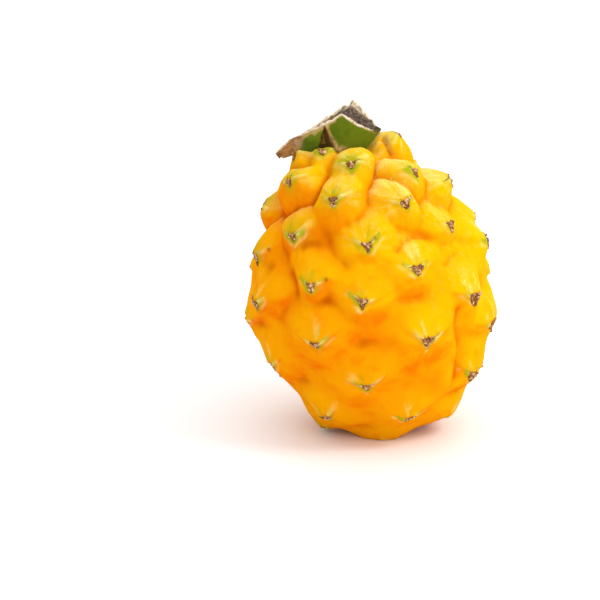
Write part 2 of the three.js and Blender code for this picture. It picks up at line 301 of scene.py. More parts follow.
def skinTints(knob, x, y, parts):  # where a tubercle is olive green, pale (partly a painted highlight), finely edged and reddish
    rough = ownLumps(knob, x, y, 1.6, 9.1, 51)
    reach = np.abs(x) / tints["scaleWide"] + np.maximum(y + 1.5, 0) / tints["scaleTall"] + 0.16 * rough
    strength = np.where(x < 0, knob["greenLeft"], knob["greenRight"]) * knob["greenShare"]
    wing = smooth(1.04, 0.84, reach) * smooth(-1.2, -0.4, parts["step"])     # the old scale's lower sides
    scar = bell(x + knob["threadTilt"] * y, 1.6 - 0.5 * y) * smooth(-0.9, -1.8, y) * bell(y + 1.9, 1.9)
    halo = bell(np.hypot(0.75 * x, y + 1.6), tints["haloWide"]) * knob["top"]
    green = (0.40 + 0.70 * strength) * wing + 0.25 * bell(reach - 1.0, 0.22) * smooth(0.0, 1.5, y)
    green = green + 0.35 * knob["greenUp"] * scar + 0.45 * parts["thread"]
    green = green + (0.20 * knob["greenShare"] + 0.65 * strength) * halo
    rim = bell(reach - 1.16, 0.12) * smooth(-2.2, -1.0, y) * strength
    rim = rim * smooth(-0.3, 0.5, ownLumps(knob, x, y, 2.2, 9.1, 52))
    # a paler patch on each tubercle's top above the areole: a painted highlight
    crestHighlight = bell(np.hypot(0.8 * x, y + 0.6 * knob["radius"]), blend(*tints["crestHighlightWide"], knob["top"]))
    pale = 0.5 * parts["fold"] + 0.75 * scar + 0.55 * crestHighlight
    pale = pale + 0.35 * smooth(0.1, 0.5, parts["crinkle"]) + 0.9 * smooth(0.0, 0.4, parts["ray"])
    edge = 0.85 * parts["keel"] * smooth(-0.6, 0.2, rough) + 0.8 * rim
    edge = edge + 0.35 * smooth(0.25, 0.6, parts["ray"])
    at = 0.8 * knob["leftArm"]                   # a few old scales end in a rusty speck on the left
    speck = bell(np.hypot(x + at, y + at * knob["leftRise"] + 0.3), tints["rustWide"])
    rust = speck * (chance(knob["index"], 31) > tints["rusty"])
    return {"green": green, "pale": pale, "edge": edge, "rust": rust}


def endHollows(upness, outness):  # the dish under the stem and the navel at the flower end, how deep in mm
    fromStem = np.arccos(np.clip(upness, -1, 1)) / math.radians(fruit["stemDishAngle"])
    dish = fruit["stemDish"] * np.clip(1 - fromStem ** 2, 0, None)
    fromNavel = fruit["radius"] * outness / fruit["navelRadius"]
    return dish + np.where(upness < 0, fruit["navelDepth"] * np.clip(1 - fromNavel ** 2, 0, None), 0)


def skinAt(d, knobs, masks=None):  # points of the skin in the body's own frame; masks are filled if given
    base, normal, down, _ = bodyAt(d)
    upness = d[:, 2]
    outness = np.sqrt(np.clip(1 - upness * upness, 0, None))
    softness = blend(*fruit["melt"], smooth(-0.4, 0.7, upness))
    total = np.exp(softness * fruit["valley"])
    extra = np.zeros(len(d))
    nearest, second, spot = np.full(len(d), 99.0), np.full(len(d), 99.0), np.zeros((len(d), 3))
    domes = {}
    bent = base + relief["warp"] * lumpVectors(base, relief["warpSize"], 4)
    bent = bent + relief["twitch"] * lumpVectors(base, relief["twitchSize"], 8)
    for knob in knobs:
        domes[knob["index"]] = domeHeight(knob, *knobFrame(knob, bent))
        total += np.exp(softness * domes[knob["index"]])
        x, y, out = knobFrame(knob, base)
        close = np.flatnonzero(x * x + y * y + out * out < relief["reach"] ** 2)
        x, y = x[close], y[close]
        height, parts = fineRelief(knob, x, y)
        extra[close] += height
        if masks is not None:
            far, before = parts["far"], nearest[close]
            second[close] = np.where(far < before, before, np.minimum(second[close], far))
            own = close[far < before]
            spot[own] = np.stack([x, y, 0 * x + 3.7 * knob["index"]], -1)[far < before]
            nearest[close] = np.minimum(before, far)
            for name, value in skinTints(knob, x, y, parts).items():
                masks[name][close] = np.maximum(masks[name][close], value)
    height = np.log(total) / softness
    fold = foldDepth(base, domes)
    if masks is not None:
        # painted shade along the sharper creases
        masks["seam"] = np.clip(fold / folds["seamFull"], 0, 1)
        masks["spot"], masks["own"] = spot, smooth(0.3, 2.5, second - nearest)
        # low places between the tubercles, where the rind is painted with shade
        masks["valley"] = 1 - smooth(0.25, 0.85, height / usualHeight(*zones(upness)))
    overhang = blend(*fruit["lean"], smooth(0.2, 0.9, upness)) * smooth(0, 0.25, outness)
    hollow = 1 - smooth(0.1, 0.55, height / fruit["high"][1])
    gutter = relief["gutter"] * smooth(0.1, 0.7, upness) * hollow
    for seed, name in enumerate(("wave", "ripple", "pebble"), 1):
        extra += relief[name] * lumps(base, relief[name + "Size"], seed)
    out = height + extra - endHollows(upness, outness) - gutter - fold
    points = base + normal * out[:, None] + down * (height * overhang)[:, None]
    points[:, :2] *= 1 - fruit["egg"] * smooth(*fruit["eggZone"], points[:, 2:])
    return points


def standUp(points):  # lean the body and set it on the floor, flat where the floor would press it
    x, z = turned(points[:, 0], points[:, 2], math.radians(fruit["tilt"]))
    placed = np.stack([x, points[:, 1], z], -1) + np.array(fruit["seat"])
    placed[:, 2] = np.maximum(placed[:, 2], 0)
    return placed


def ballOfSquares(cells):  # a ball of six square patches, evenly divided, as directions and quads
    steps = np.tan(np.linspace(-1, 1, cells + 1) * math.pi / 4)
    u, v = np.meshgrid(steps, steps, indexing="ij")
    one = np.ones_like(u)
    patches = [(one, u, v), (-one, v, u), (v, one, u), (u, -one, v), (u, v, one), (v, u, -one)]
    points, quads, offset = [], [], 0
    corner = np.arange((cells + 1) ** 2).reshape(cells + 1, cells + 1)
    ring = [corner[:-1, :-1], corner[1:, :-1], corner[1:, 1:], corner[:-1, 1:]]
    for patch in patches:
        points.append(unit(np.stack(patch, -1).reshape(-1, 3)))
        quads.append(np.stack([part.ravel() for part in ring], -1) + offset)
        offset += (cells + 1) ** 2
    points, quads = np.concatenate(points), np.concatenate(quads)
    _, first, merged = np.unique(np.round(points, 7), axis=0, return_index=True, return_inverse=True)
    return points[first], merged.ravel()[quads]


def pointNormals(points, quads):
    across = points[quads[:, 2]] - points[quads[:, 0]]
    flat = np.cross(across, points[quads[:, 3]] - points[quads[:, 1]])
    return unit(np.stack([np.bincount(quads.ravel(), np.repeat(flat[:, axis], 4), len(points))
                          for axis in range(3)], -1))


def cavity(points, quads, normal, rounds):  # how deep each point lies in a crease, mm, below 0 if it is proud
    edges = np.concatenate([quads[:, [k, (k + 1) % 4]] for k in range(4)])
    count = np.bincount(edges[:, 0], minlength=len(points))[:, None]
    relaxed = points
    for _ in range(rounds):
        gathered = [np.bincount(edges[:, 0], relaxed[edges[:, 1], axis], len(points)) for axis in range(3)]
        relaxed = 0.5 * relaxed + 0.5 * np.stack(gathered, -1) / count
    return np.sum((relaxed - points) * normal, -1)


def cleftDepth(points, knobs):  # how deep the clefts are pressed in, mm
    cleft = np.zeros(len(points))
    for path, depth, wide in folds["clefts"]:
        turn, upness = np.array(path).T
        line = skinAt(towards(np.radians(turn), upness), knobs)
        for start, end in zip(line, line[1:]):
            share = np.clip((points - start) @ (end - start) / np.sum((end - start) ** 2), 0, 1)
            away = np.linalg.norm(points - start - share[:, None] * (end - start), axis=1)
            cleft = np.maximum(cleft, depth * np.exp(-(away / wide) ** folds["cleftPower"]))
    return cleft


def buildSkin(knobs):
    cells = fruit["cells"]
    directions, quads = ballOfSquares(cells)
    masks = {name: np.zeros(len(directions)) for name in ("green", "pale", "edge", "rust")}
    points = skinAt(directions, knobs, masks)
    cleft = cleftDepth(points, knobs)
    points = points - pointNormals(points, quads) * cleft[:, None]
    # the clefts get painted shade too
    masks["seam"] = np.clip(masks["seam"] + folds["cleftShade"] * cleft, 0, 1)
    normal = pointNormals(points, quads)
    rounds = int(60 * (cells / fruit["cells"]) ** 2)     # a finer mesh takes more rounds to relax as far
    # how deep a place lies in a crease, where the rind is painted with shade
    masks["crease"] = smooth(0.05, 0.8, cavity(points, quads, normal, rounds))
    masks["slope"] = -np.sum(normal * bodyAt(directions)[2], -1)     # above 0 where it faces the stem
    masks["upper"] = smooth(0.3, 0.8, directions[:, 2])
    masks["crown"] = smooth(0.80, 0.95, directions[:, 2])
    # how much a place faces the key light, where the rind is painted yellower and paler
    masks["sunny"] = smooth(-0.2, 0.85, directions @ unit(np.array(tints["sunnySide"])))
    skin = meshPiece("fruitSkin", standUp(points), quads, "fruit")
    paintPoints(skin, masks)
    return skin


knobs = placeTubercles()
skin = buildSkin(knobs)
print("skin built:", len(skin.data.polygons), "quads")


# An areole is a dried brown pad with pale grains. Dry slivers are left of the old scale beside it.
areole = {
    "halfWide": 1.35, "up": 1.1, "down": 1.45,       # the pad's triangle
    "sunnyGrow": 1.3, "topGrow": 0.85,               # how its size changes towards the ripe side and the stem
    "padRings": 5, "padSpokes": 18, "padHigh": 0.20, "sunk": 0.6,
    "grains": 19, "grainSize": (0.26, 0.62), "grainTones": [0.15, 0.4, 0.55, 0.75, 1.0],
    "sliverSteps": 9, "sliverWide": 0.16, "sliverThick": 0.06, "sliverLong": (1.0, 3.4),
    "slivers": 4, "sliverTones": [0.25, 0.5, 0.85], "sliverOlive": 0.8,
    "nearby": 45, "lowest": 1.0,     # how far away tubercles still count, and the lowest place for a pad
}


def onSkin(knob, spots, nearby):  # points on the skin for several lists of (x, y) spots, found in one call
    across, along = turned(*np.concatenate(spots, axis=1), -knob["twist"])
    points = knob["base"] + np.outer(across, knob["side"]) + np.outer(along, knob["down"])
    directions = unit(points / np.array([fruit["radius"], fruit["radius"], fruit["halfLength"]]))
    return np.split(standUp(skinAt(directions, nearby)), np.cumsum([len(spot[0]) for spot in spots])[:-1])


def roundGrain():
    grain = bmesh.new()
    bmesh.ops.create_icosphere(grain, subdivisions=2, radius=1)
    points = np.array([v.co[:] for v in grain.verts])
    faces = [[v.index for v in face.verts] for face in grain.faces]
    grain.free()
    return points, faces


def tubeFaces(rings, count):  # quads between rings of count points, closed by a face at each end
    faces = []
    for ring in range(rings - 1):
        for k in range(count):
            a, b = ring * count + k, ring * count + (k + 1) % count
            faces.append([a, b, b + count, a + count])
    last = (rings - 1) * count
    return faces + [list(range(count))[::-1], [last + k for k in range(count)]]


def addSolid(heap, points, faces, tone, olive=0.0):  # one small solid more in the mesh that holds them all
    start = sum(len(part) for part in heap["points"])
    heap["points"].append(points)
    heap["faces"] += [[index + start for index in face] for face in faces]
    heap["tone"].append(np.broadcast_to(tone, len(points)))
    heap["olive"].append(np.full(len(points), olive))


def padReach(knob, angle):  # radius of a rounded triangle that points towards the flower end
    third = 2 * math.pi / 3
    fromCorner = np.mod(angle - math.pi / 2 + third / 2, third) - third / 2
    triangle = 0.62 / np.cos(third / 2 - np.abs(fromCorner))
    wide = areole["halfWide"] * (0.85 + 0.35 * chance(knob["index"], 51))
    tall = areole["down"] * (0.80 + 0.45 * chance(knob["index"], 52))
    stretch = np.where(np.sin(angle) > 0, tall, areole["up"])
    grow = blend(1, areole["sunnyGrow"], smooth(-0.1, 0.5, knob["direction"][0]))
    grow = grow * blend(1, areole["topGrow"], knob["top"])
    return triangle * np.hypot(wide * np.cos(angle), stretch * np.sin(angle)) * 1.35 * grow


def padSpots(knob):
    rings, spokes = areole["padRings"], areole["padSpokes"]
    angle = np.arange(spokes) / spokes * 2 * math.pi
    edge = padReach(knob, angle) * (1 + 0.18 * (random.random(spokes) - 0.5))
    share = np.repeat(np.arange(1, rings + 1) / rings, spokes)
    x, y = (np.concatenate([[0], share * np.tile(wave(angle) * edge, rings)]) for wave in (np.cos, np.sin))
    return (x, y), np.concatenate([[1], 1 - share ** 3])


def addPad(heap, ground, lift, out):
    rings, spokes = areole["padRings"], areole["padSpokes"]
    rough = areole["padHigh"] * lift * (0.5 + random.random(len(ground)))
    upper = ground + out * (rough - 0.05)[:, None]
    lower = ground - out * areole["sunk"]
    total = len(ground)
    faces = []
    for k in range(spokes):
        after = (k + 1) % spokes
        faces.append([0, 1 + k, 1 + after])
        faces.append([total, total + 1 + after, total + 1 + k])
        for ring in range(rings - 1):
            a, b = 1 + ring * spokes + k, 1 + ring * spokes + after
            faces.append([a, a + spokes, b + spokes, b])
            faces.append([total + a, total + b, total + b + spokes, total + a + spokes])
        rim = 1 + (rings - 1) * spokes
        faces.append([rim + k, total + rim + k, total + rim + after, rim + after])
    addSolid(heap, np.concatenate([upper, lower]), faces, 0.02 + 0.30 * random.random(2 * total))


def grainSpots(knob):
    angle = random.random(areole["grains"]) * 2 * math.pi
    share = np.sqrt(random.random(areole["grains"])) * 0.86
    reach = padReach(knob, angle) * share
    return np.cos(angle) * reach, np.sin(angle) * reach


def addGrains(heap, ground, axes, ball):
    across, down, out = axes
    points, faces = ball
    for spot in ground:
        size = blend(*areole["grainSize"], random.random() ** 1.5)
        shape = size * np.array([1.15, 0.55 + 0.3 * random.random(), 0.65])
        angle = random.random() * math.pi
        uneven = 1 + 0.25 * lumps(points * 1.7 + random.random(3) * 50, 1.0, 7)
        lumpy = points * uneven[:, None] * shape
        x, y = turned(lumpy[:, 0], lumpy[:, 1], angle)
        centre = spot + out * (0.05 + 0.22 * random.random())
        tone = random.choice(areole["grainTones"]) + 0.1 * random.random()
        tones = tone - 0.25 * smooth(0.2, -0.6, lumpy[:, 2] / shape[2])      # darker near the pad
        solid = centre + np.stack([x, y, lumpy[:, 2]], -1) @ np.stack([across, down, out])
        addSolid(heap, solid, faces, tones)


def sliverSpots(knob, number):  # a dry sliver beside an areole: its middle line and both its edges
    share = np.linspace(0, 1, areole["sliverSteps"])
    long, steep, bend = (chance(knob["index"] + 0.37 * number, seed) for seed in (61, 62, 63))
    side, upper = (-1, 1)[number % 2], number > 1
    length = blend(*areole["sliverLong"], long) * (0.75 if upper else 1)
    slope = (0.75 + 0.5 * steep) if upper else (0.10 + 0.45 * steep)
    x = side * (0.9 - 0.3 * upper + length * math.cos(slope) * share)
    y = -0.7 - length * math.sin(slope) * share - (0.8 * bend - 0.3) * np.sin(math.pi * share)
    wide = areole["sliverWide"] * (0.5 if upper else 1) * (1 - share) ** 0.6
    wide = wide * (0.6 + 0.7 * np.sin(share * 7 + knob["index"]) ** 2) + 0.03
    return [(x, y), (x, y - wide), (x, y + wide)], share


def addSliver(heap, rows, share, out, number):
    middle, above, below = rows
    lift = out * (0.03 + 0.30 * share ** 2 * random.random())[:, None]
    thick = out * areole["sliverThick"]
    points = np.stack([middle + lift + 2 * thick, above + lift + thick, middle + lift - thick,
                       below + lift + thick], 1).reshape(-1, 3)
    faces = tubeFaces(areole["sliverSteps"], 4)
    if number % 2 == 0:
        faces = [face[::-1] for face in faces]
    tone = random.choice(areole["sliverTones"]) + 0.15 * random.random() + 0.1 * share
    addSolid(heap, points, faces, np.repeat(tone, 4), areole["sliverOlive"] if number > 1 else 0.0)


def buildAreoles(knobs):
    heap, ball = {"points": [], "faces": [], "tone": [], "olive": []}, roundGrain()
    for knob in knobs:
        nearby = [other for other in knobs if np.linalg.norm(other["base"] - knob["base"]) < areole["nearby"]]
        pad, lift = padSpots(knob)
        slivers = [(number, *sliverSpots(knob, number)) for number in range(areole["slivers"])
                   if chance(knob["index"], 70 + number) > 0.5]
        cross = (np.array([0, 0, 0.8]), np.array([0, 0.8, 0]))
        spots = [cross, pad, grainSpots(knob)] + [line for sliver in slivers for line in sliver[1]]
        ground = onSkin(knob, spots, nearby)
        origin, ahead, beside = ground[0]
        down, across = unit(ahead - origin), unit(beside - origin)
        out = unit(np.cross(across, down))
        out = out if out @ (origin - np.array(fruit["seat"])) > 0 else -out
        if origin[2] < areole["lowest"]:
            continue
        addPad(heap, ground[1], lift, out)
        addGrains(heap, ground[2], (across, down, out), ball)
        for k, (number, _, share) in enumerate(slivers):
            addSliver(heap, ground[3 + 3 * k:6 + 3 * k], share, out, number)
    points = np.concatenate(heap["points"])
    points[:, 2] = np.maximum(points[:, 2], 0.05)
    piece = meshPiece("areoles", points, heap["faces"], None)
    paintPoints(piece, {name: np.concatenate(heap[name]) for name in ("tone", "olive")})
    return piece


areoles = buildAreoles(knobs)
print("areoles built:", len(areoles.data.polygons), "faces")


# The stem stub is a short length of three-winged stem between two dried cuts that meet in a ridge.
stub = {
    "halfDepth": 8.2, "tipTaper": 0.55, "cutSunk": 1.0, "rimWide": 1.1, "faceBulge": 0.8,
    "middle": (-11.0, 51.5), "middleDrift": 1.5,
    "ringPoints": 320, "depthSteps": 64, "capRings": 36,
    "roofEnd": 6,            # the dried cuts run from corner 0, the tip, over the ridge to this corner
    "front": [(-31.0, 45.1), (-26.3, 50.3), (-18.7, 54.2), (-9.9, 59.4), (-4.1, 55.3), (1.0, 53.1),
              (2.7, 54.2), (1.1, 51.8), (-3.5, 45.5), (-11.9, 42.7), (-19.9, 45.1), (-24.9, 46.1),
              (-28.3, 43.7)],
    "back": [(-29.5, 43.3), (-24.9, 47.9), (-17.9, 52.3), (-5.9, 60.0), (-3.3, 57.7), (-0.7, 54.5),
             (1.5, 51.8), (0.7, 49.5), (-3.5, 44.5), (-11.4, 42.1), (-19.4, 43.7), (-24.1, 43.9),
             (-27.5, 42.3)],
    "ridgeAt": (-14.4, 54.4), "ridgeLean": 0.47, "ridgeHigh": 0.9,   # a corky ridge down the front
    "scarAt": (-15.5, 54.5), "scarFlare": 0.28, "scarDeep": 0.9,     # the left edge of the brown scar
    "frontSwell": (-13.4, 1.1), "backSwell": (-9.0, 1.0), "swellWide": 5.0, "flapHigh": 0.7,
    "armEnd": -22.6, "armLean": 0.35, "armLevel": 49.0,
    "ovals": {               # middles and half sizes of soft spots on the front, the last one on the cuts
        "flap": ((-10.4, 47.9), (1.9, 0.9)), "patch": ((-24.2, 49.1), (1.5, 1.1)),
        "notch": ((-25.4, 51.0), (1.6, 0.8)), "corner": ((2.2, 53.4), (1.7, 1.7)),
        "backTan": ((-6.0, 7.4), (2.9, 1.9)),
    },
}


def outlineAt(corners, stops):
    looped = np.array(corners + corners[:1])
    return np.stack([np.interp(stops, np.arange(len(looped)), looped[:, axis]) for axis in range(2)], -1)


def ringStops():  # evenly spaced stops round the front outline, as corner numbers with fractions
    corners = np.array(stub["front"] + stub["front"][:1])
    length = np.concatenate([[0], np.cumsum(np.linalg.norm(np.diff(corners, axis=0), axis=1))])
    stops = np.arange(stub["ringPoints"]) / stub["ringPoints"] * length[-1]
    return np.interp(stops, length, np.arange(len(corners)))


def stubSurface():
    stops = ringStops()
    roof = smooth(-0.02, 0.12, stops) * (1 - smooth(stub["roofEnd"] - 0.1, stub["roofEnd"] + 0.02, stops))
    front, back = outlineAt(stub["front"], stops), outlineAt(stub["back"], stops)
    half = stub["halfDepth"]
    rings = stub["capRings"]
    shrinks = [(k / rings) ** 0.8 for k in range(1, rings)]
    stations = [(-1, shrink) for shrink in shrinks] + [(v, 1) for v in np.linspace(-1, 1, stub["depthSteps"])]
    stations += [(1, shrink) for shrink in shrinks[::-1]]
    points, cut, rim = [], [], []
    for v, shrink in stations:
        flat = front * (1 - v) / 2 + back * (1 + v) / 2
        middle = np.array(stub["middle"]) + np.array([stub["middleDrift"] * (1 + v), 0])
        flat = middle + (flat - middle) * shrink
        inside = smooth(0, stub["rimWide"], half * (1 - abs(v)))
        taper = blend(stub["tipTaper"], 1, smooth(-31, -17, flat[:, 0]))
        bulge = stub["faceBulge"] * (1 - shrink ** 2) * np.sign(v)
        sunk = stub["cutSunk"] * inside * roof
        points.append(np.stack([flat[:, 0], half * v * taper + bulge, flat[:, 1] - sunk], -1))
        uneven = half * (1 - abs(v)) / stub["rimWide"] + 0.45 * lumps(points[-1], 1.3, 21)
        cut.append(roof * smooth(0.4, 1.0, uneven))
        edge = np.linalg.norm(flat - middle, axis=1) * (1 / shrink - 1)
        rim.append(roof * (1 - smooth(0.35, 1.05, edge)) * (1 - cut[-1]))
    return *(np.concatenate(rows) for rows in (points, cut, rim)), len(points)


def ovalAt(name, across, up):
    middle, size = stub["ovals"][name]
    return bell(np.hypot((across - middle[0]) / size[0], (up - middle[1]) / size[1]), 1.0)


def stubMarks(points):  # how much each point belongs to the front, the ridge, the scar and the dry arm
    x, y, z = points.T
    (ridgeX, ridgeZ), (scarX, scarZ) = stub["ridgeAt"], stub["scarAt"]
    toRidge = x - ridgeX - stub["ridgeLean"] * (ridgeZ - z) + 0.3 * lumps(points, 1.5, 18)
    toScar = x - scarX + stub["scarFlare"] * (scarZ - z) + 0.35 * lumps(points, 1.2, 20)
    rows = smooth(43.5, 45.5, z) * (1 - smooth(54.6, 55.8, z))
    toArm = x - stub["armEnd"] - stub["armLean"] * (z - stub["armLevel"]) + lumps(points, 3.0, 15)
    return {
        "facing": smooth(-5.0, -7.0, y), "toScar": toScar, "flap": ovalAt("flap", x, z),
        "ridge": bell(toRidge, 0.45 + 0.06 * np.clip(ridgeZ - z, 0, 8)) * rows,
        "groove": smooth(-0.35, 0.35, toScar) * smooth(0.1, -0.6, toRidge) * rows,
        "dry": 1 - smooth(-1.2, 1.2, toArm),
    }


def stubRelief(points, cut, rim, marks):  # how far each point is moved off the plain chunk
    x, y, _ = points.T
    swells = [high * bell(x - at, stub["swellWide"]) for at, high in (stub["frontSwell"], stub["backSwell"])]
    raised = swells[0] - stub["scarDeep"] * marks["groove"] + stub["ridgeHigh"] * marks["ridge"]
    raised = raised + stub["flapHigh"] * marks["flap"]
    grit = 0.25 * marks["groove"] * lumps(points, 0.9, 22) + 0.12 * lumps(points, 4.0, 17)
    ragged = lumps(points * np.array([1, 0.5, 1]), 1.6, 13) + 0.6 * lumps(points, 0.7, 14)
    wrinkle = lumps(points, 2.4, 11) + 0.5 * lumps(points, 1.1, 12)
    split = 1.1 * bell(x + 7.5, 0.6) - 0.3 * bell(x + 5.6, 0.8)      # a notch and a lip in the back rim
    crumple = 0.45 * lumps(points * np.array([1, 1, 0.6]), 2.2, 16) + 0.2 * lumps(points, 0.9, 19)
    shift = (marks["dry"] * (1 - cut) * crumple)[:, None] * np.array([0.3, 1, 0.4])
    shift[:, 1] += marks["facing"] * (grit - raised) + smooth(5.0, 7.0, y) * swells[1]
    shift[:, 2] += cut * (0.35 * wrinkle - 0.9 * bell(y - 0.5, 4.5)) + rim * 0.42 * ragged
    shift[:, 2] -= smooth(4.5, 7.0, y) * (cut + rim) * split
    return shift


def stubTints(points, cut, rim, marks):  # where the stub's colours lie
    x, y, z = points.T
    facing, groove, toScar = marks["facing"], marks["groove"], marks["toScar"]
    corners = np.array(stub["front"][:stub["roofEnd"] + 1])
    below = np.interp(x, corners[:, 0], corners[:, 1]) - z           # how far below the front rim, mm
    band = blend(2.0, 0.9, smooth(-13.0, -8.5, x)) * (1 + 0.35 * lumps(points, 1.4, 23))
    fringe = facing * (1 - rim) * smooth(0.05, 0.3, below) * (1 - smooth(0.55, 1.15, below / band))
    leftShade = smooth(0.0, -0.6, toScar) * (0.25 + 0.75 * smooth(52.5, 48.0, z))
    return {
        "cut": cut, "dry": marks["dry"], "scar": facing * groove,
        "rim": np.maximum(rim, 0.35 * facing * ovalAt("patch", x, z)),
        "tan": facing * np.maximum(marks["ridge"], marks["flap"]),
        "backTan": ovalAt("backTan", x, y) * cut,
        "fringe": fringe * smooth(-11.5, -9.5, x), "husk": fringe * smooth(-9.0, -11.0, x),
        "corner": ovalAt("corner", x, z) + 0.7 * facing * ovalAt("notch", x, z),
        "shade": np.where(toScar < 0, leftShade, 1 - smooth(-13.0, -5.0, x)),
        "worn": cut * (1 - smooth(-16.5, -10.5, x + 1.5 * lumps(points, 2.0, 24))),
    }


def buildStub():
    points, cut, rim, rings = stubSurface()
    marks = stubMarks(points)
    placed = points + stubRelief(points, cut, rim, marks) + np.array(fruit["seat"])
    piece = meshPiece("stemStub", placed, tubeFaces(rings, stub["ringPoints"]), "stem_stub")
    masks = stubTints(points, cut, rim, marks)
    paintPoints(piece, {name: np.clip(values, 0, 1) for name, values in masks.items()})
    return piece


stemStub = buildStub()
print("stem stub built:", len(stemStub.data.polygons), "faces")


def newMaterial(name):
    material = bpy.data.materials.new(name)
    material.use_nodes = True
    return material, material.node_tree, material.node_tree.nodes["Principled BSDF"]


def feed(tree, socket, value):  # numbers and tuples are set, a word is a mask's name, outputs are linked
    if isinstance(value, str):
        value = readMask(tree, value)
    if isinstance(value, tuple):
        value = value + (1,) * (len(socket.default_value) - len(value))
    if isinstance(value, (int, float, tuple)):
        socket.default_value = value
    else:
        tree.links.new(value, socket)


def addNode(tree, kind, inputs, **settings):  # inputs go by their names or numbers
    node = tree.nodes.new("ShaderNode" + kind)
    for name, value in settings.items():
        setattr(node, name, value)
    for name, value in inputs.items():
        feed(tree, node.inputs[name], value)
    return node.outputs


def objectCoords(tree):
    return addNode(tree, "TexCoord", {})["Object"]


def readMask(tree, name):
    return addNode(tree, "Attribute", {}, attribute_name=name)["Fac"]


def calc(tree, operation, a, b=0.0, clamp=False):
    return addNode(tree, "Math", {0: a, 1: b}, operation=operation, use_clamp=clamp)[0]


def plus(tree, a, b):  # the sum stays from 0 to 1
    return calc(tree, "ADD", a, b, True)


def ranged(tree, value, low, high, toLow=0.0, toHigh=1.0):
    inputs = {"Value": value, "From Min": low, "From Max": high, "To Min": toLow, "To Max": toHigh}
    return addNode(tree, "MapRange", inputs, interpolation_type="SMOOTHSTEP")["Result"]


def times(tree, *factors):  # a factor in brackets is a value with the numbers that ranged takes
    values = [ranged(tree, *factor) if isinstance(factor, tuple) else factor for factor in factors]
    product = values[0]
    for value in values[1:]:
        product = calc(tree, "MULTIPLY", product, value)
    return product


def mixColor(tree, share, a, b):
    return addNode(tree, "Mix", {0: share, 6: a, 7: b}, data_type="RGBA")[2]


def layered(tree, color, layers):  # each layer covers the ones before it by its share
    for share, tone in layers:
        color = mixColor(tree, share, color, tone)
    return color


def noiseAt(tree, coords, size, detail=3, roughness=0.55):  # size of one lump in mm
    inputs = {"Vector": coords, "Scale": 1 / (size * mm), "Detail": detail, "Roughness": roughness}
    return addNode(tree, "TexNoise", inputs)["Fac"]


def stretched(tree, coords, scale):  # lumps get longer along the axes whose scale is below 1
    return addNode(tree, "VectorMath", {0: coords, 1: scale}, operation="MULTIPLY")["Vector"]


def setShader(tree, shader, color, roughness, finish):  # finish holds the inputs that are the same all over
    for name, value in {"Base Color": color, "Roughness": roughness, **finish}.items():
        feed(tree, shader.inputs[name], value)


def addBump(tree, shader, heights, strength=1.0):  # heights: (value, depth in mm) pairs
    chain = {}
    for value, depth in heights:
        inputs = {"Strength": strength, "Distance": depth * mm, "Height": value, **chain}
        chain = {"Normal": addNode(tree, "Bump", inputs)["Normal"]}
    feed(tree, shader.inputs["Normal"], chain["Normal"])


rind = {
    # the orange and amber tones are painted shade, the darkest tone is painted shade in creases, and the pale
    # tone is partly a painted sheen
    "yellow": (0.83, 0.43, 0.001), "gold": (0.84, 0.325, 0.001), "orangeShade": (0.81, 0.168, 0.001),
    "amberShade": (0.80, 0.26, 0.001), "deepShade": (0.55, 0.095, 0.001), "pale": (0.90, 0.58, 0.11),
    "edge": (0.92, 0.69, 0.22), "green": (0.36, 0.36, 0.008), "rust": (0.20, 0.03, 0.004),
    "fanTurn": 4.0, "fanReach": 0.14,            # how fine the wrinkles are round an areole, and along
    "roughness": (0.45, 0.60),
    "finish": {"Subsurface Weight": 0.06, "Subsurface Radius": (1.0, 0.45, 0.1), "Subsurface Scale": 1.5 * mm,
               "Specular IOR Level": 0.025, "Specular Tint": (1.0, 0.72, 0.08), "IOR": 1.08},
}


def fanLines(tree):  # fine wrinkles that spread from each areole towards the stem, and where they show
    spot = addNode(tree, "Attribute", {}, attribute_name="spot")["Vector"]
    x, y, layer = addNode(tree, "SeparateXYZ", {0: spot})
    angle = calc(tree, "ARCTAN2", x, times(tree, y, -1.0))
    far = calc(tree, "SQRT", calc(tree, "ADD", times(tree, x, x), times(tree, y, y)))
    fan = {0: times(tree, angle, rind["fanTurn"]), 1: times(tree, far, rind["fanReach"]), 2: layer}
    lines = noiseAt(tree, addNode(tree, "CombineXYZ", fan)[0], 1 / mm, 3, 0.6)
    forward = (calc(tree, "ABSOLUTE", angle), 2.4, 1.5, 0.15, 1.0)
    return lines, times(tree, (far, 1.5, 3.2), (far, 12, 5), forward, "own")


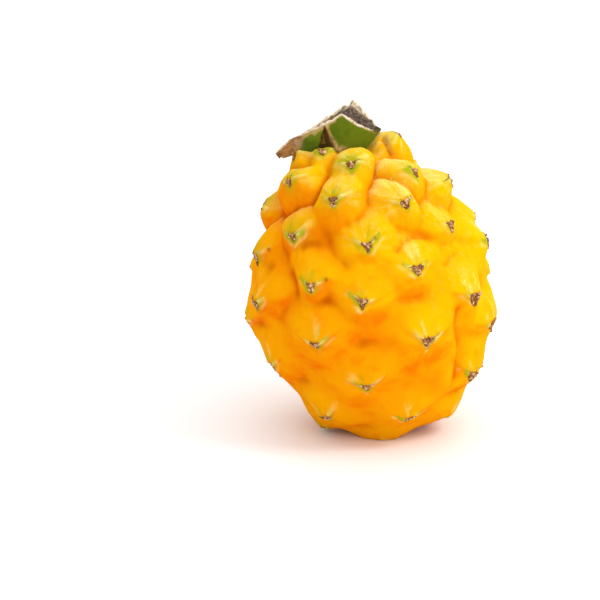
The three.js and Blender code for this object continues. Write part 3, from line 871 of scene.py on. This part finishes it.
def rindMaterial():
    material, tree, shader = newMaterial("rind")
    coords = objectCoords(tree)
    broad = noiseAt(tree, coords, 16, 2)
    middle = noiseAt(tree, coords, 4.5, 4)
    mottle = noiseAt(tree, coords, 0.7, 5, 0.65)
    patch = noiseAt(tree, coords, 9, 3)
    flecks = noiseAt(tree, coords, 2.2, 3, 0.6)
    pores = noiseAt(tree, coords, 0.45, 4)
    strands = noiseAt(tree, stretched(tree, coords, (1.0, 1.0, 0.35)), 0.55, 6, 0.7)
    lines, fan = fanLines(tree)
    slope, sunny, upper = (readMask(tree, name) for name in ("slope", "sunny", "upper"))
    # gold to yellow: yellower towards the key light and on the upward slopes near the stem, which is painted
    # light, with broad real variation
    ripeAndLit = plus(tree, sunny, ranged(tree, broad, 0.35, 0.65, -0.25, 0.25))
    ripeAndLit = plus(tree, ripeAndLit, times(tree, (upper, 0.0, 1.0, 0.0, 0.45), (slope, -0.25, 0.20)))
    # painted shade: orange in the hollows and under the tubercles, with real orange patches; less of it on
    # the side towards the key light and by the stem
    plain = ranged(tree, "crown", 0.0, 1.0, 1.0, 0.3)
    shadeAndBlush = plus(tree, times(tree, "valley", 0.65), ranged(tree, slope, 0.05, -0.45, 0.0, 0.85))
    shadeAndBlush = calc(tree, "MULTIPLY", shadeAndBlush, ranged(tree, middle, 0.25, 0.7, 0.55, 1.15), True)
    shadeAndBlush = calc(tree, "MAXIMUM", shadeAndBlush, ranged(tree, patch, 0.56, 0.70, 0.0, 0.42))
    shadeAndBlush = times(tree, shadeAndBlush, (sunny, 0.6, 1.0, 1.0, 0.55), plain)
    # the painted shade colour, and painted shade along the seams
    shade = mixColor(tree, sunny, rind["orangeShade"], rind["amberShade"])
    seam = times(tree, "seam", (middle, 0.3, 0.6, 0.3, 0.7))
    # painted shade deep in the creases
    creaseShading = times(tree, "crease", (sunny, 0.2, 1.0, 1.0, 0.6), plain)
    # painted highlight: pale strands on the crests and on slopes that face the stem, partly the skin's own
    # pale marks, and paler strands on the knobs round the stem, all stronger towards the key light
    lit = times(tree, (slope, -0.15, 0.40, 0.1, 1.0), (patch, 0.62, 0.38, 0.0, 0.45))
    marks = calc(tree, "MAXIMUM", "pale", lit)
    paleSheen = times(tree, marks, (sunny, 0.8, 1.0, 0.42, 0.95), (strands, 0.38, 0.62, 0.3, 1.0))
    clear = ranged(tree, shadeAndBlush, 0.1, 0.6, 1.0, 0.1)       # the flanks in painted shade stay free of pale marks
    paleSheen = times(tree, (paleSheen, 0.2, 0.95, 0.0, 0.85), clear)
    # paler strands on the upward slopes of the knobs round the stem: a painted highlight
    crownHighlight = times(tree, (slope, 0.15, 0.5), (upper, 0.5, 1.0), (strands, 0.4, 0.6, 0.15, 0.7),
                  (sunny, 0.7, 1.0, 0.45, 1.0))
    # the fan of fine wrinkles, with painted shade in its furrows, and pale welts and flecks that are partly a
    # painted highlight
    # they show more towards the key light, which is painted light
    dry = ranged(tree, sunny, 0.45, 1.0, 0.12, 1.0)
    shown = times(tree, fan, dry, upper, (patch, 0.62, 0.44, 0.3, 1.0))
    furrow = times(tree, shown, (lines, 0.46, 0.38, 0.0, 0.35))
    welt = times(tree, shown, (lines, 0.52, 0.62, 0.0, 0.6))
    fleck = times(tree, (flecks, 0.52, 0.68, 0.0, 0.22), dry, (slope, -0.3, 0.1, 0.15, 1.0),
                  (upper, 0.0, 1.0, 0.25, 1.0))
    streak = times(tree, calc(tree, "MAXIMUM", welt, fleck), clear)
    # olive green and fine edges round the areoles
    green = times(tree, "green", (mottle, 0.3, 0.6, 0.6, 1.1))
    edge = times(tree, "edge", (mottle, 0.3, 0.6, 0.5, 0.9))
    color = layered(tree, mixColor(tree, ripeAndLit, rind["gold"], rind["yellow"]), (
        (shadeAndBlush, shade), (seam, shade), (creaseShading, rind["deepShade"]), (paleSheen, rind["pale"]), (crownHighlight, rind["edge"]),
        (furrow, shade), (streak, rind["edge"]), (green, rind["green"]), (edge, rind["edge"]),
        ("rust", rind["rust"])))
    setShader(tree, shader, color, ranged(tree, mottle, 0.3, 0.7, *rind["roughness"]), rind["finish"])
    wrinkle = times(tree, shown, lines)
    addBump(tree, shader, ((middle, 0.25), (mottle, 0.10), (wrinkle, 0.2), (pores, 0.03)), 0.8)
    return material


crust = {
    "dark": (0.13, 0.042, 0.010), "brown": (0.37, 0.155, 0.055), "pale": (0.68, 0.44, 0.24),
    "olive": (0.17, 0.18, 0.015), "roughness": (0.6, 0.85), "finish": {"Specular IOR Level": 0.08},
}


def crustMaterial():
    material, tree, shader = newMaterial("crust")
    grain = noiseAt(tree, objectCoords(tree), 0.5, 4)
    tone = plus(tree, "tone", ranged(tree, grain, 0.3, 0.7, -0.15, 0.15))
    color = layered(tree, crust["dark"], (
        (ranged(tree, tone, 0.0, 0.4), crust["brown"]), (ranged(tree, tone, 0.45, 1.0), crust["pale"]),
        ("olive", crust["olive"])))
    setShader(tree, shader, color, ranged(tree, grain, 0.3, 0.7, *crust["roughness"]), crust["finish"])
    addBump(tree, shader, ((grain, 0.12),))
    return material


stem = {
    "green": (0.066, 0.103, 0.002), "leaf": (0.118, 0.152, 0.004), "cut": (0.030, 0.015, 0.010),
    "cutPale": (0.19, 0.125, 0.08), "rim": (0.78, 0.64, 0.48), "dry": (0.36, 0.18, 0.055),
    "dryDark": (0.20, 0.075, 0.022), "scar": (0.060, 0.030, 0.002), "tan": (0.45, 0.28, 0.12),
    "husk": (0.36, 0.27, 0.04), "fringe": (0.27, 0.22, 0.008), "horn": (0.10, 0.055, 0.035),
    "roughness": (0.5, 0.75), "finish": {"Specular IOR Level": 0.06},
}


def stemMaterial():
    material, tree, shader = newMaterial("stem")
    coords = objectCoords(tree)
    broad = noiseAt(tree, coords, 5, 3)
    fine = noiseAt(tree, coords, 0.9, 5, 0.65)
    grain = noiseAt(tree, stretched(tree, coords, (1.0, 1.0, 0.25)), 0.8, 4, 0.6)
    fibre = noiseAt(tree, stretched(tree, coords, (0.35, 1.0, 1.0)), 0.8, 4, 0.6)

    def twoTone(noise, low, high, first, second):
        return mixColor(tree, ranged(tree, noise, low, high), stem[first], stem[second])

    dark = plus(tree, "shade", ranged(tree, broad, 0.35, 0.65, -0.4, 0.3))
    dryTone = twoTone(fibre, 0.30, 0.62, "dryDark", "dry")
    rimTone = twoTone(fine, 0.36, 0.56, "tan", "rim")
    cutTone = layered(tree, twoTone(grain, 0.42, 0.70, "cut", "cutPale"),
                      (("worn", dryTone), ("backTan", rimTone)))
    tones = {
        "fringe": stem["fringe"], "husk": twoTone(fine, 0.35, 0.6, "husk", "tan"), "dry": dryTone,
        "scar": twoTone(grain, 0.56, 0.76, "scar", "dry"), "tan": twoTone(grain, 0.38, 0.60, "dry", "tan"),
        "rim": rimTone, "cut": cutTone, "corner": stem["horn"],
    }
    color = layered(tree, mixColor(tree, dark, stem["leaf"], stem["green"]), tones.items())
    setShader(tree, shader, color, ranged(tree, fine, 0.3, 0.7, *stem["roughness"]), stem["finish"])
    addBump(tree, shader, ((broad, 0.2), (fine, 0.12)))
    return material


skin.data.materials.append(rindMaterial())
areoles.data.materials.append(crustMaterial())
stemStub.data.materials.append(stemMaterial())
print("materials made")


studio = {
    "elevation": 16.0, "distance": 750.0, "pixelsPerMm": 3.07,
    "frameSide": 600, "fruitPixel": (370.8, 286.7), "sensor": 36,
    "keyPlace": (560, -220, 660), "keySize": 300, "keyPower": 2.6,
    "roomBright": (0.35, 0.10, 0.93), "roomLight": (0.66, 1.50),     # the room is brightest up on the right
    "floorSide": 3000, "floorTone": (0.84, 0.86), "floorCloud": 200, "floorRoughness": 0.6,
}


def placeCamera():  # the middle of the fruit falls on its own pixel of a square frame
    rise = math.radians(studio["elevation"])
    focal = studio["pixelsPerMm"] * studio["distance"]
    ahead = np.array([0, math.cos(rise), -math.sin(rise)])
    right = np.array([1.0, 0, 0])
    up = np.cross(right, ahead)
    x, y = (np.array(studio["fruitPixel"]) - studio["frameSide"] / 2) / focal
    ray = unit(x * right - y * up + ahead)
    place = np.array(fruit["seat"]) - ray * studio["distance"]
    lens = bpy.data.cameras.new("camera")
    lens.sensor_width = studio["sensor"]
    lens.lens = studio["sensor"] * focal / studio["frameSide"]
    camera = addToScene("camera", lens)
    axes = Matrix((right, up, -ahead)).transposed().to_4x4()
    camera.matrix_world = Matrix.Translation(Vector(place * mm)) @ axes
    bpy.context.scene.camera = camera


def placeKey():
    light = bpy.data.lights.new("key", "AREA")
    light.size = studio["keySize"] * mm
    light.energy = studio["keyPower"]
    lamp = addToScene("key", light)
    lamp.location = Vector(studio["keyPlace"]) * mm
    lamp.rotation_mode = "QUATERNION"
    lamp.rotation_quaternion = (Vector(fruit["seat"]) * mm - lamp.location).to_track_quat("-Z", "Y")


def lightRoom():
    world = bpy.data.worlds.new("studio")
    world.use_nodes = True
    tree, background = world.node_tree, world.node_tree.nodes["Background"]
    ways = {0: addNode(tree, "TexCoord", {})["Generated"], 1: studio["roomBright"]}
    toward = addNode(tree, "VectorMath", ways, operation="DOT_PRODUCT")["Value"]
    feed(tree, background.inputs["Strength"], ranged(tree, toward, -0.4, 0.9, *studio["roomLight"]))
    feed(tree, background.inputs["Color"], (1, 1, 1))
    bpy.context.scene.world = world


def layFloor():
    mesh = bpy.data.meshes.new("floor")
    side = studio["floorSide"] * mm
    mesh.from_pydata([(-side, -side, 0), (side, -side, 0), (side, side, 0), (-side, side, 0)], [],
                     [(0, 1, 2, 3)])
    floor = addToScene("floor", mesh)
    material, tree, shader = newMaterial("paper")
    low, high = ((tone, tone, tone) for tone in studio["floorTone"])
    tone = mixColor(tree, noiseAt(tree, objectCoords(tree), studio["floorCloud"], 2), low, high)
    setShader(tree, shader, tone, studio["floorRoughness"], {})
    mesh.materials.append(material)


placeCamera()
placeKey()
lightRoom()
layFloor()
bpy.context.scene.view_settings.view_transform = "Standard"
print("studio ready")
